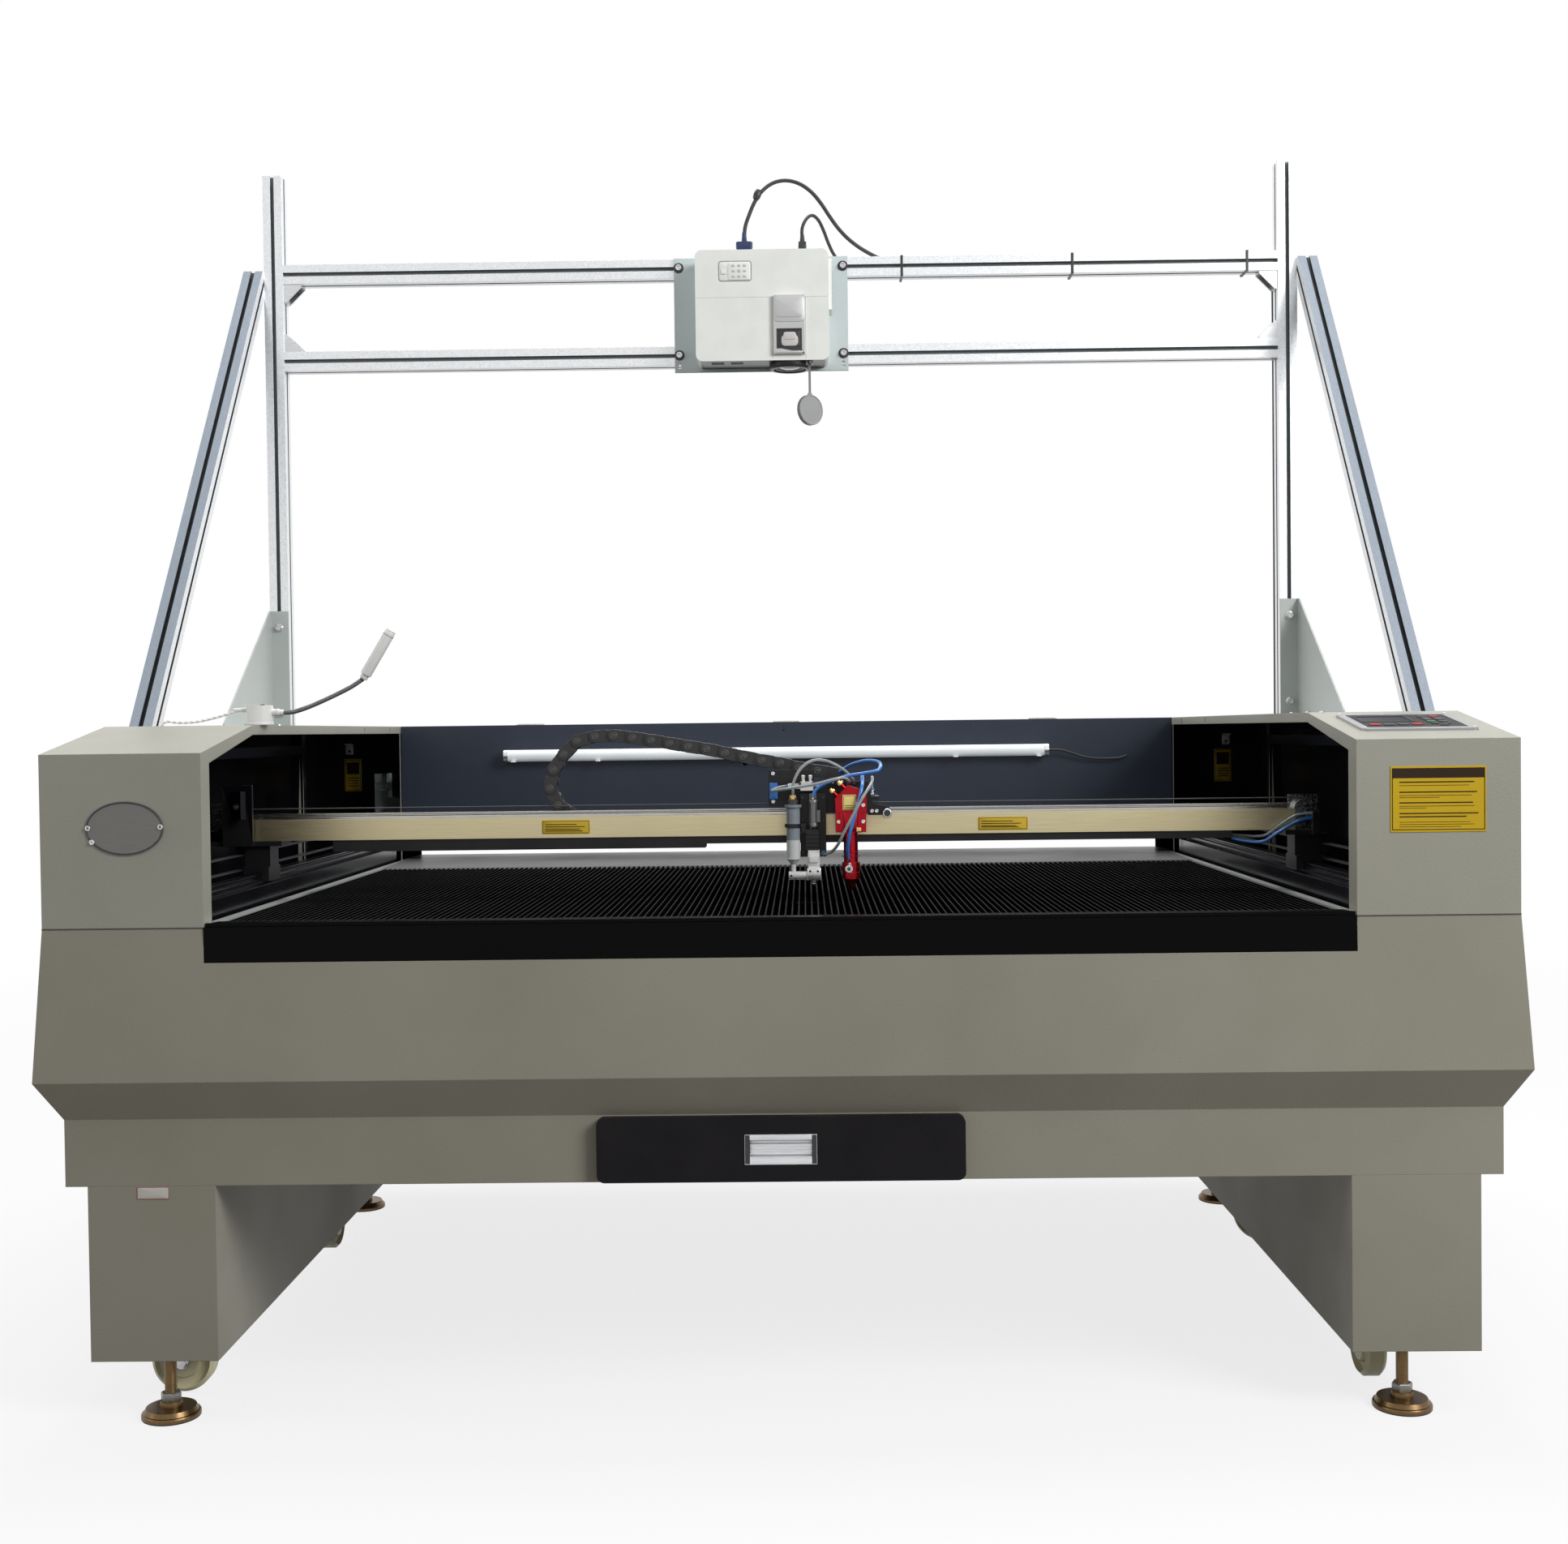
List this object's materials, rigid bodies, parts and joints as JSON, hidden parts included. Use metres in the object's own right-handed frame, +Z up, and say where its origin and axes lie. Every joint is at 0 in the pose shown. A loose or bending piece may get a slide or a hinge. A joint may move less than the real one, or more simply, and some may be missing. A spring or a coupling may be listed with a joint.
{
  "type": "carbon dioxide laser cutting machine",
  "caption": "Flatbed laser cutting machine with a bladed bed, a travelling gantry with laser head and marking dispenser, and an overhead projector on a slotted-profile frame.",
  "frame": {"origin": "on the floor, under the middle of the whole machine without its cords", "axes": "+X to the right seen from the front, +Y to the rear, +Z up"},
  "size_m": [2.26, 1.634, 2.231],
  "materials": {
    "putty_paint": "fine orange-peel powder coat",
    "black_paint": "black powder coat",
    "navy_paint": "dark blue-grey powder coat",
    "black_plastic": "matt moulded plastic",
    "white_plastic": "satin moulded plastic",
    "nylon": "cast nylon",
    "zinc": "yellow zinc plate",
    "steel": "bright steel",
    "aluminium": "satin anodised",
    "gold_aluminium": "brushed, warm anodised",
    "red_anodised": "red anodised, satin",
    "blade_black": "glossy black",
    "rubber": "matt",
    "blue_tube": "glossy polyurethane",
    "clear_tube": "clear polyurethane",
    "tube_glass": "clear glass",
    "lamp_white": "opal glass",
    "grey_plastic": "matt grey"
  },
  "bodies": {
    "root": {"floor_pan": "putty_paint", "front_panel": "putty_paint", "side_panels": "putty_paint", "rear_panel": "putty_paint", "pedestals": "putty_paint", "levelling_feet": "zinc", "base_frame": "putty_paint", "housing_left": "putty_paint", "housing_right": "putty_paint", "control_panel": "aluminium", "front_bar": "black_paint", "bed_border": "putty_paint", "blade_table": "blade_black", "scrap_hopper": "aluminium", "back_wall": "navy_paint", "light_tube": "lamp_white", "light_lead": "rubber", "laser_tube": "tube_glass", "y_belts": "rubber", "electronics": "aluminium", "projector_frame": "aluminium", "frame_brackets": "aluminium", "projector_plate": "putty_paint", "projector_body": "white_plastic", "video_lead": "rubber", "projector_lead": "rubber", "lamp_base": "white_plastic", "lamp_arm": "white_plastic", "lamp_lead": "white_plastic", "fasteners": "steel"},
    "drawer": {"drawer_tray": "aluminium", "drawer_front": "black_paint"},
    "lid": {"rear_lid": "putty_paint"},
    "gantry": {"gantry_beam": "gold_aluminium", "gantry_mounts": "black_paint", "x_belt": "rubber", "beam_trays": "black_paint", "cable_carrier": "black_plastic", "gantry_hose": "blue_tube"},
    "motor_pulley": {"x_pulley": "aluminium"},
    "drive_shaft": {"y_drive_shaft": "steel"},
    "carriage": {"carriage_plate": "black_paint", "head_block": "red_anodised", "dispenser_slide": "black_paint", "blue_hose": "blue_tube", "clear_hose": "clear_tube"},
    "focus": {"lens_tube": "red_anodised", "air_hose": "blue_tube"},
    "marker": {"dispenser": "white_plastic", "syringe": "clear_tube"},
    "cap": {"lens_cap": "grey_plastic"},
    "rocker": {"lamp_rocker": "black_plastic"},
    "castor_front_left": {"fork_front_left": "steel"},
    "castor_front_left_wheel": {"wheel_front_left": "nylon"},
    "castor_front_right": {"fork_front_right": "steel"},
    "castor_front_right_wheel": {"wheel_front_right": "nylon"},
    "castor_rear_left": {"fork_rear_left": "steel"},
    "castor_rear_left_wheel": {"wheel_rear_left": "nylon"},
    "castor_rear_right": {"fork_rear_right": "steel"},
    "castor_rear_right_wheel": {"wheel_rear_right": "nylon"}
  },
  "joints": [
    {"name": "gantry_travel", "type": "slide", "parent": "root", "child": "gantry", "axis": [0, 1, 0], "range_m": [-0.27, 0.73]},
    {"name": "shaft_turn", "type": "hinge", "parent": "root", "child": "drive_shaft", "pos_m": [0, 0.537, 0.835], "axis": [1, 0, 0], "continuous": true},
    {"name": "carriage_travel", "type": "slide", "parent": "gantry", "child": "carriage", "axis": [1, 0, 0], "range_m": [-0.82, 0.66], "deforming": ["cable_carrier"]},
    {"name": "pulley_turn", "type": "hinge", "parent": "gantry", "child": "motor_pulley", "pos_m": [-0.986, -0.362, 0.905], "axis": [0, 1, 0], "continuous": true},
    {"name": "focus_slide", "type": "slide", "parent": "carriage", "child": "focus", "axis": [0, 0, 1], "range_m": [-0.004, 0.018], "deforming": ["air_hose"]},
    {"name": "marker_slide", "type": "slide", "parent": "carriage", "child": "marker", "axis": [0, 0, -1], "range_m": [0, 0.012]},
    {"name": "drawer_slide", "type": "slide", "parent": "root", "child": "drawer", "axis": [0, -1, 0], "range_m": [0, 0.42]},
    {"name": "lid_hinge", "type": "hinge", "parent": "root", "child": "lid", "pos_m": [0, 0.763, 1.071], "axis": [-1, 0, 0], "range_deg": [0, 95]},
    {"name": "cap_swing", "type": "hinge", "parent": "root", "child": "cap", "pos_m": [0.062, 0.247, 1.8085], "axis": [1, 0, 0], "range_deg": [-45, 45]},
    {"name": "rocker_tilt", "type": "hinge", "parent": "root", "child": "rocker", "pos_m": [-0.876, -0.473, 1.102], "axis": [0, 1, 0], "range_deg": [0, 26]},
    {"name": "castor_front_left_swivel", "type": "hinge", "parent": "root", "child": "castor_front_left", "pos_m": [-0.938, -0.646, 0.12], "axis": [0, 0, 1], "continuous": true},
    {"name": "castor_front_left_roll", "type": "hinge", "parent": "castor_front_left", "child": "castor_front_left_wheel", "pos_m": [-0.963, -0.646, 0.056], "axis": [0, -1, 0], "continuous": true},
    {"name": "castor_front_right_swivel", "type": "hinge", "parent": "root", "child": "castor_front_right", "pos_m": [0.938, -0.646, 0.12], "axis": [0, 0, 1], "continuous": true},
    {"name": "castor_front_right_roll", "type": "hinge", "parent": "castor_front_right", "child": "castor_front_right_wheel", "pos_m": [0.938, -0.621, 0.056], "axis": [-1, 0, 0], "continuous": true},
    {"name": "castor_rear_left_swivel", "type": "hinge", "parent": "root", "child": "castor_rear_left", "pos_m": [-0.938, 0.197, 0.12], "axis": [0, 0, 1], "continuous": true},
    {"name": "castor_rear_left_roll", "type": "hinge", "parent": "castor_rear_left", "child": "castor_rear_left_wheel", "pos_m": [-0.938, 0.172, 0.056], "axis": [1, 0, 0], "continuous": true},
    {"name": "castor_rear_right_swivel", "type": "hinge", "parent": "root", "child": "castor_rear_right", "pos_m": [0.938, 0.197, 0.12], "axis": [0, 0, 1], "continuous": true},
    {"name": "castor_rear_right_roll", "type": "hinge", "parent": "castor_rear_right", "child": "castor_rear_right_wheel", "pos_m": [0.95715, 0.18093, 0.056], "axis": [0.6428, 0.766, 0], "continuous": true}
  ],
  "couplings": [
    {"joint": "shaft_turn", "follows": "gantry_travel", "rad_per_m": -83.333},
    {"joint": "pulley_turn", "follows": "carriage_travel", "rad_per_m": 50}
  ]
}
